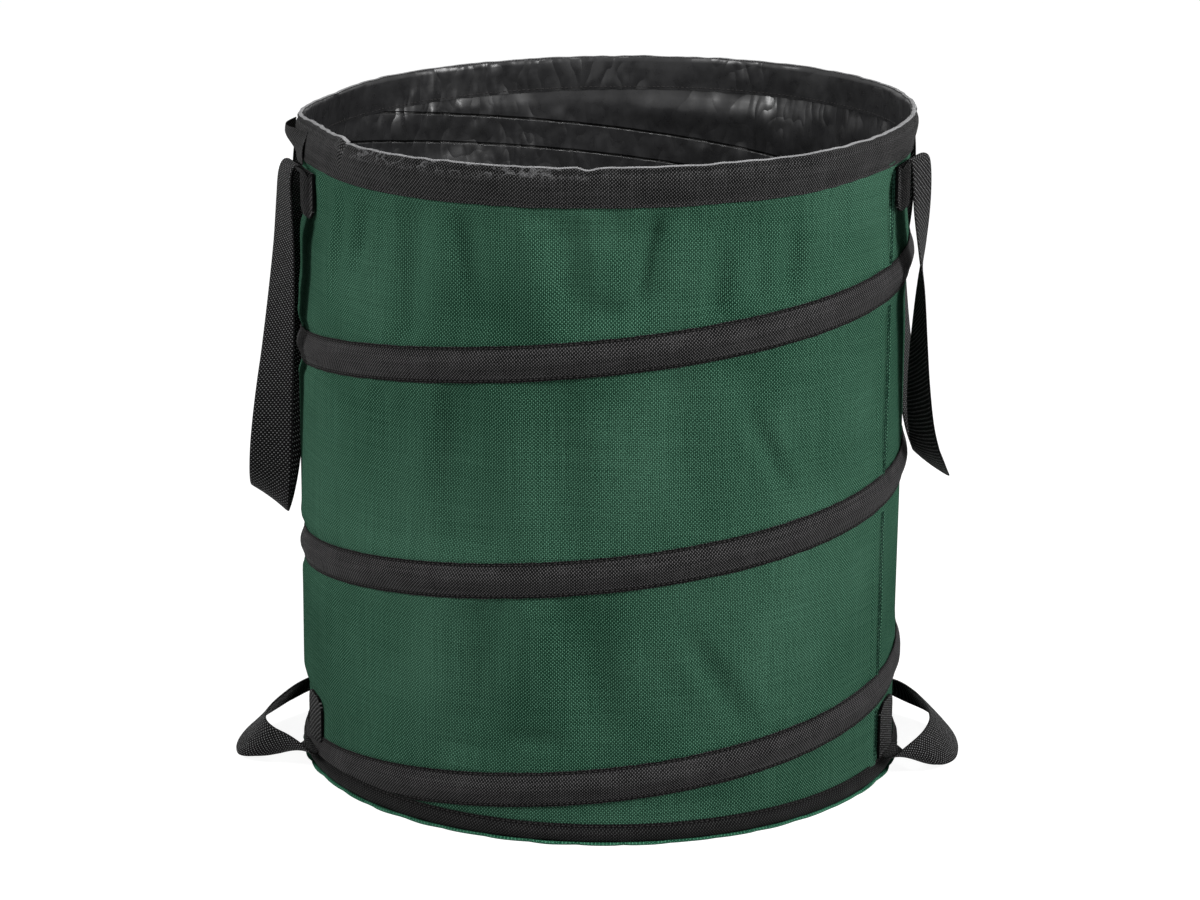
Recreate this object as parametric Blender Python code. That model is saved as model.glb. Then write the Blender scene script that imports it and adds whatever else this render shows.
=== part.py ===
"""Pop up leaf bag: a cloth drum held open by a coil spring in a sewn tape, with webbing handles."""

import math

import bmesh
import bpy
from mathutils import Vector

# Cloth drum
bag_radius = 0.2275  # outer face of the wall cloth
bag_height = 0.495  # floor to the top of the hem, at the middle of its tilt
cloth_thickness = 0.001
gap = 0.0003  # between pieces that touch
facets = 48  # flat sides of every round piece, which all share them
wall_rings = 4  # level rings of wall cloth, which drop in turn as the bag is pressed flat
seam_width = 0.008
seam_thickness = 0.0008

# Spring wire and the sewn channels that hold it
wire_diameter = 0.0024
ferrule_diameter = 0.0034
ferrule_clearance = 0.0002
ferrule_length = 0.02
channel_depth = 0.004  # room between the wall and the crown of a tape
tape_thickness = 0.0006
tape_width = 0.026
coil_foot = 0.0057  # height that the coil's line starts from, at the left
coil_turns = 2.965  # from there to the hem's lower edge
coil_start_steps = 4  # facets after the left side
coil_end_steps = 140

# Base
base_panel_thickness = 0.0015
piping_height = 0.0019
piping_depth = 0.0028
base_band_height = 0.013

# Hem at the mouth, which the spring tips up towards the back right
hem_height = 0.0276
hem_lip = 0.0012  # how far the top edge draws in from the crown
hem_fold = 0.0012  # how far the inner edge lies below the top
hem_ring_drop = 0.009  # from the top of the hem to the ring inside it
mouth_tilt_right = 0.0052
mouth_tilt_back = 0.0083
flap_start_steps = 0
flap_lift = 0.004
flap_lift_shares = (0.0, 1.0, 0.55)
flap_margin = 0.003

# Webbing handles: each has a sewn end in front of its side and one behind
webbing_width = 0.038
webbing_thickness = 0.0018
handle_side_steps = 2.5  # facets from the side of the bag to a sewn end
carry_end_height = 0.034
base_end_height = 0.042
end_corner_radius = 0.012
end_corner_steps = 3

# Hanging loops, from a sewn end to the middle of the loop.
# Columns: how far down, how far out, how far round from the side, how far turned.
left_reach = 0.025
left_drop = 0.275
left_turn = math.radians(71.25)
left_leg_shares = (
    (-0.003, 0.2, 1.0, 0.0),
    (-0.016, 0.32, 1.0, 0.0),
    (-0.025, 0.45, 1.0, 0.0),
    (-0.019, 0.57, 0.995, 0.0),
    (0.012, 0.66, 0.98, 0.02),
    (0.085, 0.67, 0.95, 0.07),
    (0.205, 0.65, 0.90, 0.16),
    (0.350, 0.68, 0.815, 0.27),
    (0.515, 0.75, 0.70, 0.40),
    (0.635, 0.81, 0.565, 0.52),
    (0.765, 0.88, 0.424, 0.70),
    (0.866, 0.95, 0.31, 0.88),
    (0.940, 1.0, 0.208, 1.0),
    (0.985, 1.0, 0.117, 1.0),
    (1.0, 1.0, 0.0, 1.0),
)
right_reach = 0.0265
right_drop = 0.25
right_turn = math.radians(108.75)
right_leg_shares = (
    (-0.003, 0.19, 1.0, 0.0),
    (-0.014, 0.30, 1.0, 0.0),
    (-0.019, 0.42, 1.0, 0.0),
    (-0.010, 0.53, 0.985, 0.0),
    (0.04, 0.60, 0.965, 0.016),
    (0.133, 0.62, 0.94, 0.053),
    (0.249, 0.63, 0.91, 0.10),
    (0.384, 0.64, 0.875, 0.172),
    (0.538, 0.65, 0.81, 0.264),
    (0.673, 0.68, 0.725, 0.356),
    (0.800, 0.75, 0.608, 0.466),
    (0.892, 0.85, 0.46, 0.614),
    (0.954, 0.95, 0.293, 0.80),
    (0.988, 0.99, 0.133, 0.926),
    (1.0, 1.0, 0.0, 1.0),
)
carry_hinge_reach = 0.009

# Loops at the base, which lie out on the floor.
# Columns: how far out, how far round, how far from start height to end height,
# how far the width swings round, how far it stands up.
base_reach = 0.0465
base_lean = math.radians(60)
base_sway_share = 0.4  # of a handle's half span, that its far end lies towards the front
floor_clearance = 0.0015
base_hinge_out = 0.005  # from the face of the sewn ends
base_hinge_up = 0.002
base_leg_shares = (
    (0.127, 1.0, 0.0, 0.0, 0.0),
    (0.239, 0.997, 0.0, 0.0, 0.0),
    (0.419, 0.94, 0.05, 0.1, 0.2),
    (0.613, 0.81, 0.2, 0.396, 0.48),
    (0.783, 0.62, 0.5, 0.66, 0.76),
    (0.905, 0.42, 0.8, 0.79, 0.9),
    (0.98, 0.21, 0.97, 0.905, 0.97),
    (1.0, 0.0, 1.0, 1.0, 1.0),
)

# Heights and radii that follow from the sizes above
step = 2 * math.pi / facets
left_side = math.pi
facet_radius = bag_radius * math.cos(step / 2)
wall_inside = bag_radius - cloth_thickness
tape_foot = bag_radius + gap
crown_inside = bag_radius + channel_depth
crown_outside = crown_inside + tape_thickness
wire_radius = wire_diameter / 2
wire_path = bag_radius + channel_depth / 2
crown_half = wire_radius + gap
coil_pitch = (bag_height - hem_height - coil_foot) / coil_turns
band_foot = gap + piping_height + gap
band_top = band_foot + base_band_height
band_ring = band_foot + base_band_height / 2
hem_ring = hem_height - hem_ring_drop
end_face = facet_radius + gap
handle_face = end_face + webbing_thickness + gap
handle_angle = handle_side_steps * step
seam_angle = -(handle_side_steps + 1) * step
wall_top = hem_height - tape_thickness - hem_fold - gap

GREEN = (0.035, 0.135, 0.075)
BLACK = (0.018, 0.018, 0.019)
STEEL = (0.55, 0.56, 0.58)


def material(name, colour, roughness, metallic=0.0):
    made = bpy.data.materials.new(name)
    made.use_nodes = True
    made.diffuse_color = (*colour, 1.0)
    shader = made.node_tree.nodes["Principled BSDF"]
    shader.inputs["Base Color"].default_value = (*colour, 1.0)
    shader.inputs["Roughness"].default_value = roughness
    shader.inputs["Metallic"].default_value = metallic
    return made


def link(name, data, finish):
    """An object in the scene with a material of its own."""
    made = bpy.data.objects.new(name, data)
    bpy.context.scene.collection.objects.link(made)
    made.data.materials.append(material(name, *finish))
    return made


def finish_mesh(name, mesh, finish):
    """A named object from a bmesh, with its faces outwards and its round sides smooth."""
    bmesh.ops.recalc_face_normals(mesh, faces=mesh.faces)
    data = bpy.data.meshes.new(name)
    mesh.to_mesh(data)
    mesh.free()
    data.shade_smooth()
    data.set_sharp_from_angle(angle=math.radians(30))
    return link(name, data, finish)


def at(angle, radius, height):
    """A point at an angle round the bag, counted from the right, seen from above."""
    return Vector((radius * math.cos(angle), radius * math.sin(angle), height))


def mouth_tilt(angle):
    return mouth_tilt_right * math.cos(angle) + mouth_tilt_back * math.sin(angle)


def hem_foot(angle):
    """Height of the hem's lower edge."""
    return bag_height - hem_height + mouth_tilt(angle)


def coil_height(angle):
    """Height of the coil's line, which climbs from the left side of the bag."""
    return coil_foot + coil_pitch * (angle - left_side) / (2 * math.pi)


def loft(name, rings, finish, closed=False):
    """A closed solid through sections that have the same number of points.

    A section runs along one face and back along the other. The way back is split along
    the same diagonals, or a twisted strap would cut through itself.
    """
    mesh = bmesh.new()
    loops = [[mesh.verts.new(point) for point in ring] for ring in rings]
    count = len(loops[0])
    last = len(loops) if closed else len(loops) - 1
    for i in range(last):
        here, there = loops[i], loops[(i + 1) % len(loops)]
        for j in range(count):
            k = (j + 1) % count
            corners = [here[j], here[k], there[k], there[j]]
            if j >= count / 2:
                corners = corners[1:] + corners[:1]
            mesh.faces.new(corners)
    if not closed:
        mesh.faces.new(reversed(loops[0]))
        mesh.faces.new(loops[-1])
    return finish_mesh(name, mesh, finish)


def turned(name, section, finish, start=0, steps=facets):
    """A solid from a section of (radius, height) points that may change with the angle."""
    closed = steps == facets
    angles = [(start + i) * step for i in range(steps + (not closed))]
    rings = [[at(a, r, z) for r, z in section(a)] for a in angles]
    return loft(name, rings, finish, closed)


def wire(name, points, finish, cyclic):
    """A round wire along a line of points."""
    data = bpy.data.curves.new(name, "CURVE")
    data.dimensions = "3D"
    data.bevel_depth = wire_radius
    data.bevel_resolution = 1
    data.use_fill_caps = not cyclic
    spline = data.splines.new("POLY")
    spline.points.add(len(points) - 1)
    for place, point in zip(spline.points, points):
        place.co = (*point, 1.0)
    spline.use_cyclic_u = cyclic
    return link(name, data, finish)


def tent(low, middle, high):
    """Section of a tape that is sewn at both edges and stands over a wire."""
    outer = [
        (tape_foot + tape_thickness, low),
        (crown_outside, middle - crown_half),
        (crown_outside, middle + crown_half),
        (tape_foot + tape_thickness, high),
    ]
    inner = [(radius - tape_thickness, height) for radius, height in reversed(outer)]
    return outer + inner


def ferrule(name, first, second, finish):
    """A short sleeve in the middle of a ring wire's length from one point to another."""
    mesh = bmesh.new()
    sides = 8
    centre = (first + second) / 2
    along = (second - first).normalized()
    out = Vector((centre.x, centre.y, 0)).normalized()
    up = out.cross(along)
    bore = wire_radius + ferrule_clearance
    loops = []
    for radius, end in (
        (ferrule_diameter / 2, -1),
        (ferrule_diameter / 2, 1),
        (bore, 1),
        (bore, -1),
    ):
        loop = []
        for i in range(sides):
            turn = 2 * math.pi * i / sides
            spoke = out * math.cos(turn) + up * math.sin(turn)
            place = centre + spoke * radius + along * end * ferrule_length / 2
            loop.append(mesh.verts.new(place))
        loops.append(loop)
    for i in range(4):
        here, there = loops[i], loops[(i + 1) % 4]
        for j in range(sides):
            k = (j + 1) % sides
            mesh.faces.new((here[j], here[k], there[k], there[j]))
    return finish_mesh(name, mesh, finish)


def plate(name, angle, outline, face, thickness, finish):
    """A flat piece on one facet of the wall, from an outline of (across, height) points."""
    mesh = bmesh.new()
    out = Vector((math.cos(angle), math.sin(angle), 0))
    across = Vector((-math.sin(angle), math.cos(angle), 0))
    corners = [out * face + across * x + Vector((0, 0, z)) for x, z in outline]
    base = mesh.faces.new([mesh.verts.new(corner) for corner in corners])
    grown = bmesh.ops.extrude_face_region(mesh, geom=[base])
    moved = [item for item in grown["geom"] if isinstance(item, bmesh.types.BMVert)]
    bmesh.ops.translate(mesh, vec=out * thickness, verts=moved)
    return finish_mesh(name, mesh, finish)


def rounded_outline(width, height, foot, round_top):
    """A strip's outline, with the two corners at one end rounded."""
    half, radius = width / 2, min(end_corner_radius, width / 2)
    arc = [math.pi / 2 * i / end_corner_steps for i in range(end_corner_steps + 1)]
    right = [
        (half - radius + radius * math.sin(a), radius - radius * math.cos(a))
        for a in arc
    ]
    low = [(-x, z) for x, z in reversed(right)] + right
    points = low + [(half, height), (-half, height)]
    if round_top:
        points = [(x, height - z) for x, z in points]
    return [(x, foot + z) for x, z in points]


def ribbon(name, stations, origin, finish):
    """Webbing through (centre, across) stations, with its object's origin on its hinge."""
    rings = []
    for i, (centre, across) in enumerate(stations):
        ahead = stations[min(i + 1, len(stations) - 1)][0]
        behind = stations[max(i - 1, 0)][0]
        face = (ahead - behind).cross(across).normalized() * webbing_thickness / 2
        side = across.normalized() * webbing_width / 2
        rings.append(
            [
                centre - origin + side + face,
                centre - origin + side - face,
                centre - origin - side - face,
                centre - origin - side + face,
            ]
        )
    hinge = bpy.data.objects.new(name + "_hinge", None)
    hinge.empty_display_size = webbing_width
    hinge.location = origin
    bpy.context.scene.collection.objects.link(hinge)
    made = loft(name, rings, finish)
    made.parent = hinge
    return made


def both_legs(leg):
    """A loop's stations: its front leg, then the same leg mirrored behind."""
    front = leg(-1)
    behind = leg(1)[:-1]
    return front + list(reversed(behind))


def carry_stations(side, shares, reach, drop, turn):
    """A hanging loop on the left (side -1) or right (side 1) of the bag."""

    def leg(end):
        angle = side_angle(side, end)
        start = hem_foot(angle) - gap
        end_height = bag_height - hem_height - drop
        first = at(angle, handle_face + webbing_thickness / 2, start)
        flat = Vector((math.sin(angle), -math.cos(angle), 0)) * end
        fold = Vector((0, 0, webbing_width / 8))
        stations = [(first - fold, flat)]
        for down, out, round_share, turned_share in shares:
            place = side_angle(side, end * round_share)
            height = start + (end_height - start) * down
            facing = angle + side * end * turn * turned_share
            across = Vector((math.sin(facing), -math.cos(facing), 0)) * end
            centre = at(place, bag_radius + out * reach, height - webbing_thickness)
            stations.append((centre, across))
        return stations

    return both_legs(leg)


def side_angle(side, end):
    """Angle of a sewn end: side -1 left or 1 right, end -1 in front or 1 behind."""
    return (left_side if side < 0 else 0) + side * end * handle_angle


def base_stations(side):
    """A loop at the base, which turns up on edge as it goes round."""
    start = band_top + gap + webbing_thickness
    stand = webbing_width / 2 * math.sin(base_lean)
    far = stand + webbing_thickness / 2 + floor_clearance

    def leg(end):
        angle = side_angle(side, end)
        flat = angle - side * end * math.pi / 2
        across = Vector((math.cos(flat), math.sin(flat), 0))
        stations = [(at(angle, handle_face, start), across)]
        for out, round_share, rise, swing, stand_share in base_leg_shares:
            place = side_angle(side, end * round_share - out * base_sway_share)
            turn = flat + side * end * (math.pi / 2 - handle_angle) * swing
            lean = base_lean * stand_share
            level = Vector((math.cos(turn), math.sin(turn), 0))
            across = level * math.cos(lean) - Vector((0, 0, math.sin(lean)))
            height = start + (far - start) * rise
            centre = at(place, bag_radius + out * base_reach, height)
            stations.append((centre, across))
        return stations

    return both_legs(leg)


def clear_scene():
    for item in list(bpy.data.objects):
        bpy.data.objects.remove(item)


def build_base():
    cloth, tape, steel = (GREEN, 0.8), (BLACK, 0.75), (STEEL, 0.35, 1.0)
    mesh = bmesh.new()
    bmesh.ops.create_cone(
        mesh,
        cap_ends=True,
        segments=facets,
        radius1=wall_inside - gap,
        radius2=wall_inside - gap,
        depth=base_panel_thickness,
    )
    up = Vector((0, 0, base_panel_thickness / 2))
    bmesh.ops.translate(mesh, vec=up, verts=mesh.verts)
    finish_mesh("base_panel", mesh, cloth)
    edge = tape_foot + piping_depth
    piping = [
        (tape_foot, gap),
        (edge, gap),
        (edge, gap + piping_height),
        (tape_foot, gap + piping_height),
    ]
    turned("base_piping", lambda a: piping, cloth)
    turned("base_band", lambda a: tent(band_foot, band_ring, band_top), tape)
    ring = [at(i * step, wire_path, band_ring) for i in range(facets)]
    wire("base_ring_wire", ring, steel, True)
    half_way = facets // 2
    ferrule("base_ring_ferrule", ring[half_way], ring[half_way + 1], steel)


def build_wall():
    cloth = (GREEN, 0.8)
    top = bag_height - hem_height
    for number in range(1, wall_rings + 1):
        low = gap + (top - gap) * (number - 1) / wall_rings
        high = gap + (top - gap) * number / wall_rings - gap

        def section(angle, low=low, high=high, last=number == wall_rings):
            upper = hem_foot(angle) + wall_top if last else high
            return [
                (bag_radius, low),
                (bag_radius, upper),
                (wall_inside, upper),
                (wall_inside, low),
            ]

        turned(f"wall_ring_{number}", section, cloth)


def coil_edges(angle):
    """The lower and upper edge of the tape, which the base band and the hem cut short."""
    middle = coil_height(angle)
    low = max(middle - tape_width / 2, band_top + gap)
    high = min(middle + tape_width / 2, hem_foot(angle) - gap)
    return low, middle, high


def build_coil():
    steps = coil_end_steps - coil_start_steps
    start = facets // 2 + coil_start_steps
    angles = [(start + i) * step for i in range(steps + 1)]
    path = [at(a, wire_path, coil_height(a)) for a in angles]
    wire("spring_coil", path, (STEEL, 0.35, 1.0), False)
    rings = [[at(a, r, z) for r, z in tent(*coil_edges(a))] for a in angles]
    loft("spring_tape", rings, (BLACK, 0.75))


def build_side_seam():
    """The lap of the wall cloth, in the lengths that show between the tapes."""
    lows = [lambda a: band_top + gap]
    highs = []
    for turn in range(1, wall_rings):
        shift = 2 * math.pi * turn
        highs.append(lambda a, shift=shift: coil_edges(a + shift)[0] - gap)
        lows.append(lambda a, shift=shift: coil_edges(a + shift)[2] + gap)
    highs.append(lambda a: hem_foot(a) - gap)
    half = seam_width / 2
    near, far = seam_angle - half / facet_radius, seam_angle + half / facet_radius
    for number, (low, high) in enumerate(zip(lows, highs), start=1):
        outline = [
            (-half, low(near)),
            (half, low(far)),
            (half, high(far)),
            (-half, high(near)),
        ]
        name = f"side_seam_{number}"
        plate(name, seam_angle, outline, end_face, seam_thickness, (GREEN, 0.8))


def build_hem():
    tape, steel = (BLACK, 0.7), (STEEL, 0.35, 1.0)
    inner_face = wall_inside - gap
    lip = crown_outside - hem_lip

    def section(angle):
        foot = hem_foot(angle)
        points = [
            (tape_foot + tape_thickness, 0),
            (crown_outside, hem_ring - crown_half),
            (crown_outside, hem_ring + crown_half),
            (lip, hem_height),
            (inner_face, hem_height),
            (inner_face - tape_thickness, hem_height - hem_fold),
            (inner_face - tape_thickness, 0),
            (inner_face, 0),
            (inner_face, hem_height - hem_fold - tape_thickness),
            (lip - tape_thickness, hem_height - tape_thickness),
            (crown_inside, hem_ring + crown_half),
            (crown_inside, hem_ring - crown_half),
            (tape_foot, 0),
        ]
        return [(radius, foot + height) for radius, height in points]

    turned("rim_hem", section, tape)
    lifts = dict(enumerate(flap_lift_shares))

    def flap(angle):
        foot = hem_foot(angle)
        number = round((angle - left_side) / step) - flap_start_steps
        lift = gap + flap_lift * lifts[number]
        outer = [
            (tape_foot + 2 * tape_thickness + lift, flap_margin / 2),
            (crown_outside + tape_thickness + lift, hem_ring - crown_half),
            (crown_outside + tape_thickness + lift, hem_height - flap_margin),
        ]
        inner = [(radius - tape_thickness, height) for radius, height in outer]
        points = outer + inner[::-1]
        return [(radius, foot + height) for radius, height in points]

    first = facets // 2 + flap_start_steps
    turned("hem_end_flap", flap, tape, first, len(flap_lift_shares) - 1)
    angles = [i * step for i in range(facets)]
    ring = [at(a, wire_path, hem_foot(a) + hem_ring) for a in angles]
    wire("rim_ring_wire", ring, steel, True)
    half_way = facets // 2
    ferrule("rim_ring_ferrule", ring[half_way - 2], ring[half_way - 1], steel)


def build_sewn_ends():
    webbing = (BLACK, 0.6)
    for side_name, side in (("left", -1), ("right", 1)):
        for end_name, end in (("front", -1), ("rear", 1)):
            angle = side_angle(side, end)
            slope = mouth_tilt(angle + step) - mouth_tilt(angle - step)
            top = hem_foot(angle) - gap - abs(slope)
            foot = top - carry_end_height
            size = (webbing_width, carry_end_height, foot, False)
            outline = rounded_outline(*size)
            name = f"{side_name}_carry_{end_name}_end"
            plate(name, angle, outline, end_face, webbing_thickness, webbing)
            size = (webbing_width, base_end_height, band_top + gap, True)
            outline = rounded_outline(*size)
            name = f"{side_name}_base_{end_name}_end"
            plate(name, angle, outline, end_face, webbing_thickness, webbing)


def build_handles():
    webbing = (BLACK, 0.6)
    reach = bag_radius + carry_hinge_reach
    for name, side, shape in (
        ("left", -1, (left_leg_shares, left_reach, left_drop, left_turn)),
        ("right", 1, (right_leg_shares, right_reach, right_drop, -right_turn)),
    ):
        hinge = Vector((side * reach, 0, hem_foot(left_side if side < 0 else 0)))
        stations = carry_stations(side, *shape)
        ribbon(f"{name}_carry_handle", stations, hinge, webbing)
        height = band_top + gap + webbing_thickness + base_hinge_up
        face = handle_face * math.cos(handle_angle)
        hinge = Vector((side * (face + base_hinge_out), 0, height))
        ribbon(f"{name}_base_handle", base_stations(side), hinge, webbing)


clear_scene()
build_base()
build_wall()
build_coil()
build_side_seam()
build_hem()
build_sewn_ends()
build_handles()
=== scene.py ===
# %% [markdown]
# # A pop up leaf bag
# The real bag is a drum of green woven cloth. A spring wire winds up its wall inside a sewn tape and pushes it
# open, and it is pressed flat to put away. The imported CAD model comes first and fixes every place. Each piece
# is then modelled in its real form over its plain solids, which it stands for. The base ring stays as it is.

# %% Load the frame
import math

import bmesh
import bpy
from mathutils import Matrix, Vector, noise


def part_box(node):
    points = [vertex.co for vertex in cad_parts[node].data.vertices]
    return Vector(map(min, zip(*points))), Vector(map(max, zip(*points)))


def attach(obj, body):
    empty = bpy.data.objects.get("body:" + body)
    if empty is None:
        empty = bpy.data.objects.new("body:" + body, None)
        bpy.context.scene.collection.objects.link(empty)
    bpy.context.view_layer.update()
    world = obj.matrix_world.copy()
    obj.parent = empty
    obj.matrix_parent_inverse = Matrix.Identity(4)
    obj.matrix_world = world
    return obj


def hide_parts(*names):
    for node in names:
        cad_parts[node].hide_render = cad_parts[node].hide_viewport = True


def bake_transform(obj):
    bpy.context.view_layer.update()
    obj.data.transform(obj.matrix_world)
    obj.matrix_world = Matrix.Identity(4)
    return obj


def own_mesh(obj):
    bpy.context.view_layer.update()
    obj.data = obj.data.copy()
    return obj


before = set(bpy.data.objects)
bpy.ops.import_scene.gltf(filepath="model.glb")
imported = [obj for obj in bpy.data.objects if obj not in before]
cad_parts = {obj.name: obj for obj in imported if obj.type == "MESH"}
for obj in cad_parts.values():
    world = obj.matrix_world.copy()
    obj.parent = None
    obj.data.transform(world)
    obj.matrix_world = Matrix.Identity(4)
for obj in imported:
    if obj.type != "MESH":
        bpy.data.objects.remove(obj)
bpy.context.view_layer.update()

# %% [markdown]
# ## The camera
# The photograph was taken a little from above with a long lens. Its place was worked out beforehand from the
# rims and tapes in the picture. A turn about the camera's own view line is easiest as a product of matrices,
# because the three angles of an object are always applied in one fixed order.

# %% Put the camera where the photograph was taken
picture_width = 1200
focal_pixels = 3036.5
bpy.ops.object.camera_add()
camera = bpy.context.object
camera.name = "photograph_camera"
camera.data.lens = camera.data.sensor_width * focal_pixels / picture_width
camera.data.shift_x = -0.002475
camera.data.shift_y = -0.00089
look_down, roll = math.radians(90) - 0.2591, 0.0083
camera.matrix_world = (
    Matrix.Translation((0, -2.2482, 0.8273))
    @ Matrix.Rotation(look_down, 4, "X")
    @ Matrix.Rotation(roll, 4, "Z")
)
bpy.context.scene.camera = camera
print(f"lens {camera.data.lens:.1f} mm")

# %% [markdown]
# ## Finishes, written as sums
# A material is a net of nodes. Its sums are easier to read as Python, so a value inside a finish is wrapped in
# a small class: adding two of them adds the Math node that does it. Every other node comes from one method.

# %% Values and finishes
class Value:
    """A number that varies over a surface. Sums with it add Math nodes."""

    def __init__(self, net, socket):
        self.net, self.socket = net, socket

    def math(self, operation, *others, first=None):
        terms = [self, *others] if first is None else [first, self]
        return self.net.node("Math", {"operation": operation}, dict(enumerate(terms)))

    def __add__(self, other):
        return self.math("ADD", other)

    def __sub__(self, other):
        return self.math("SUBTRACT", other)

    def __rsub__(self, other):
        return self.math("SUBTRACT", first=other)

    def __mul__(self, other):
        return self.math("MULTIPLY", other)

    def __truediv__(self, other):
        return self.math("DIVIDE", other)

    def __mod__(self, other):
        return self.math("FLOORED_MODULO", other)

    def __abs__(self):
        return self.math("ABSOLUTE")

    __radd__, __rmul__ = __add__, __mul__


class Net:
    """A tree of nodes, of a material or of the world."""

    def __init__(self, tree):
        self.tree = tree

    def plug(self, value, socket):
        self.tree.links.new(value.socket, socket)

    def node(self, kind, settings=None, sockets=None, output=0):
        made = self.tree.nodes.new("ShaderNode" + kind)
        for name, value in (settings or {}).items():
            setattr(made, name, value)
        for name, value in (sockets or {}).items():
            if isinstance(value, Value):
                self.plug(value, made.inputs[name])
            else:
                made.inputs[name].default_value = value
        return Value(self, made.outputs[output])

    def seen_or_mirrored(self):
        """1 for the camera and for what is mirrored or seen through something, 0 for light on its way."""
        rays = ("Is Camera Ray", "Is Glossy Ray", "Is Transmission Ray")
        camera_ray, glossy_ray, through_ray = [self.node("LightPath", output=ray) for ray in rays]
        return camera_ray.math("MAXIMUM", glossy_ray).math("MAXIMUM", through_ray)


class Finish(Net):
    """A material whose shader is fed by the values that its methods return."""

    def __init__(self, name, colour, roughness, constants=None):
        self.material = bpy.data.materials.new(name)
        self.material.use_nodes = True
        self.material.diffuse_color = (*colour, 1)
        super().__init__(self.material.node_tree)
        self.shader = self.tree.nodes["Principled BSDF"]
        self.shader.inputs["Base Color"].default_value = (*colour, 1)
        self.shader.inputs["Roughness"].default_value = roughness
        for socket, value in (constants or {}).items():
            self.shader.inputs[socket].default_value = value

    def laid_flat(self):
        """How far along and how far across the cloth a point is, in metres, from its UV map."""
        flat = self.node("UVMap", {"uv_map": "flat"})
        return [self.node("SeparateXYZ", {}, {0: flat}, axis) for axis in (0, 1)]

    def place(self):
        return self.node("TexCoord", output="Object")

    def grain(self, along, across, scale, detail=2.0, seed=0.0):
        """Cloudy values from 0 to 1, over a place given by two values."""
        place = self.node("CombineXYZ", {}, {0: along, 1: across, 2: seed})
        return self.clouds(place, scale, detail)

    def clouds(self, place, scale, detail=2.0):
        return self.node("TexNoise", {}, {"Vector": place, "Scale": scale, "Detail": detail})

    def between(self, value, low, high):
        """0 below low, 1 above high and smooth between."""
        sockets = {0: value, 1: low, 2: high}
        return self.node("MapRange", {"interpolation_type": "SMOOTHSTEP"}, sockets)

    def mix(self, share, dark, light):
        colours = [c if isinstance(c, Value) else (*c, 1) for c in (dark, light)]
        sockets = {0: share, 6: colours[0], 7: colours[1]}
        return self.node("Mix", {"data_type": "RGBA"}, sockets, 2)

    def bump(self, height, depth, strength=1.0):
        return self.node("Bump", {}, {"Height": height, "Distance": depth, "Strength": strength})

    def feed(self, **sockets):
        for name, value in sockets.items():
            self.plug(value, self.shader.inputs[name.replace("_", " ").title()])
        return self.material


# %% [markdown]
# ## Woven cloth
# A plain weave is a chessboard: on one square the thread along the cloth is on top, on the next the thread
# across it. Each thread is round, so its height is a half wave over its width. A UV map in metres carries the
# pattern, because it has to follow the cloth round the bag and along each strap. A thread shines only across
# its own length, so seen from the front one kind of square is light and the other is dark.

# %% A weave's height
def weave(finish, along, across, thread, wander):
    """Height of a plain weave, 0 in the gaps and 1 on a thread, and where the lengthways thread is on top."""
    drift = finish.grain(along, across, 60.0, 1.0) * wander
    along, across = along + drift, across - drift
    column, row = along / thread, across / thread
    upper = (column.math("FLOOR") + row.math("FLOOR")) % 2
    round_column = abs((column * math.pi).math("SINE"))
    round_row = abs((row * math.pi).math("SINE"))
    lengthways = round_column * (round_row * 0.45 + 0.55)
    crossways = round_row * (round_column * 0.45 + 0.55)
    return lengthways * upper + crossways * (1 - upper), upper


def slubs(finish, along, across, scale):
    """Thicker and thinner threads, as streaks that run both ways."""
    upright = finish.grain(along * scale, across * 12, 1.0, 2.0, 3.0)
    level = finish.grain(along * 12, across * scale, 1.0, 2.0, 7.0)
    return (upright + level) / 2


# %% Green oxford cloth
def make_cloth(name, dark, light):
    made = Finish(name, light, 0.8, {"Specular IOR Level": 0.0})
    along, across = made.laid_flat()
    threads, upper = weave(made, along, across, 0.0013, 0.0016)
    streaks = slubs(made, along, across, 800.0) - 0.5
    broad = made.grain(along, across, 7.0, 2.0, 4.0) - 0.5
    share = made.between(threads * (upper * 0.7 + 0.5) + streaks * 0.55 + broad * 0.6, 0.1, 1.0)
    tone = made.mix(share, dark, light)
    height = threads + streaks * 0.5
    rough = 0.85 - threads * 0.2
    return made.feed(base_color=tone, roughness=rough, normal=made.bump(height, 0.0004, 0.9))


cloth_finish = make_cloth("green_oxford", (0.003, 0.022, 0.011), (0.085, 0.2, 0.135))
# The piping is the wall's green cloth painted lighter, as painted light, so that it shows in the shade at the
# floor.
lightened_piping_finish = make_cloth("green_piping_lightened", (0.006, 0.05, 0.027), (0.08, 0.26, 0.16))
print("finishes:", cloth_finish.name, lightened_piping_finish.name)

# %% [markdown]
# ## The black coating inside
# The cloth is coated inside with a thin shiny film, which creases where the spring pulls it. Broad buckles run
# all over it. Beside the coil's two seams the film is gathered into short puckers across the seam, so the
# finish works out from the UV map how far a point is from the coil's line, which climbs evenly.

# %% Black coating
coil_foot, coil_pitch, coil_radius = 0.0057, 0.1557, 0.2275
tape_seam = 0.0114
near_black, soot = (0.001, 0.001, 0.001), (0.002, 0.002, 0.002)


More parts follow.
